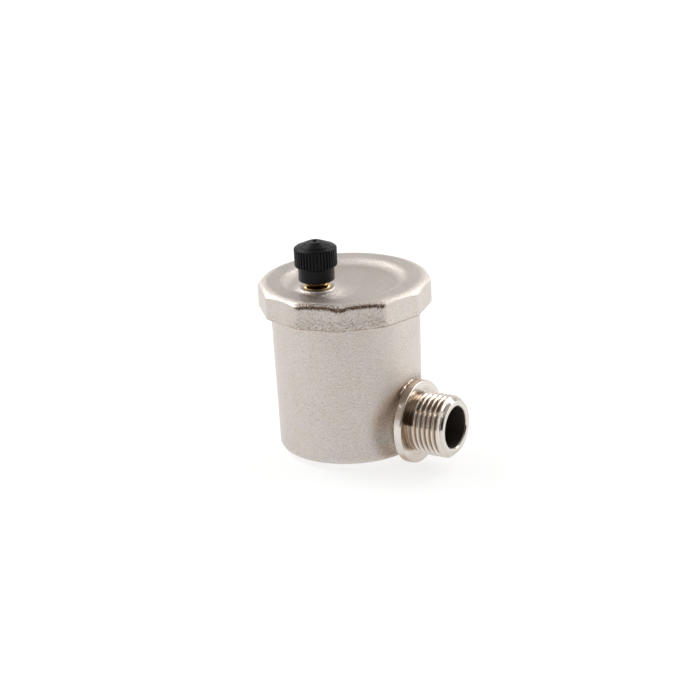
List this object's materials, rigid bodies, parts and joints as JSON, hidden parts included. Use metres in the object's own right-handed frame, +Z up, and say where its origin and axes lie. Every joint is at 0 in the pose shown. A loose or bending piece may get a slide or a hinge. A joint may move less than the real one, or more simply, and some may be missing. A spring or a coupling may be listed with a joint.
{
  "type": "automatic air vent",
  "caption": "Float air vent: nickel-plated cup with a side threaded inlet, a twelve-sided screwed cover and a knurled black vent cap set off centre",
  "frame": {"origin": "centre of the flat base of the cup, on the axis of the float chamber", "axes": "+Z up the chamber to the cover, +X out along the threaded inlet, +Y completes the right-handed frame, the vent nozzle lies towards -Y"},
  "size_m": [0.0697, 0.058, 0.077],
  "materials": {
    "nickel_casting": "nickel plated over a blasted casting",
    "turned_nickel": "nickel plated over turned brass, bright",
    "turned_brass": "bare turned brass",
    "stainless": "stainless sheet and wire, lightly brushed",
    "black_rubber": "moulded rubber, matte",
    "black_plastic": "moulded black plastic, satin",
    "float_plastic": "natural moulded plastic"
  },
  "bodies": {
    "valve": {"vent_body": "nickel_casting", "inlet_spigot": "turned_nickel", "cover": "nickel_casting", "cover_gasket": "black_rubber", "nozzle": "turned_brass", "nozzle_ring": "black_rubber", "lever_bracket": "stainless", "lock_washer": "stainless", "bracket_nut": "turned_brass", "pivot_pin": "stainless", "pivot_clip": "stainless", "closing_spring": "stainless"},
    "lever_arm": {"lever": "turned_brass", "shutter_holder": "turned_brass", "shutter_pad": "black_rubber", "link_pin": "stainless", "link_clip": "stainless"},
    "float": {"float_hanger": "stainless", "float_lid": "float_plastic", "float_shell": "float_plastic"},
    "cap_carriage": {"cap_seal": "black_rubber"},
    "cap": {"vent_cap": "black_plastic"}
  },
  "joints": [
    {"name": "lever_swing", "type": "hinge", "parent": "valve", "child": "lever_arm", "pos_m": [-0.00384, -0.01677, 0.04675], "axis": [0.9748, -0.2233, 0], "range_deg": [0, 16], "deforming": ["closing_spring"]},
    {"name": "float_level", "type": "hinge", "parent": "lever_arm", "child": "float", "pos_m": [-0.00015, -0.00065, 0.04201], "axis": [0.9748, -0.2233, 0], "range_deg": [-16, 0]},
    {"name": "cap_rise", "type": "slide", "parent": "valve", "child": "cap_carriage", "axis": [0, 0, 1], "range_m": [0, 0.006]},
    {"name": "cap_turn", "type": "hinge", "parent": "cap_carriage", "child": "cap", "pos_m": [-0.00284, -0.01238, 0.066], "axis": [0, 0, 1], "range_deg": [0, 2160]}
  ],
  "couplings": [
    {"joint": "float_level", "follows": "lever_swing", "ratio": -1},
    {"joint": "cap_turn", "follows": "cap_rise", "rad_per_m": 6283.2}
  ]
}
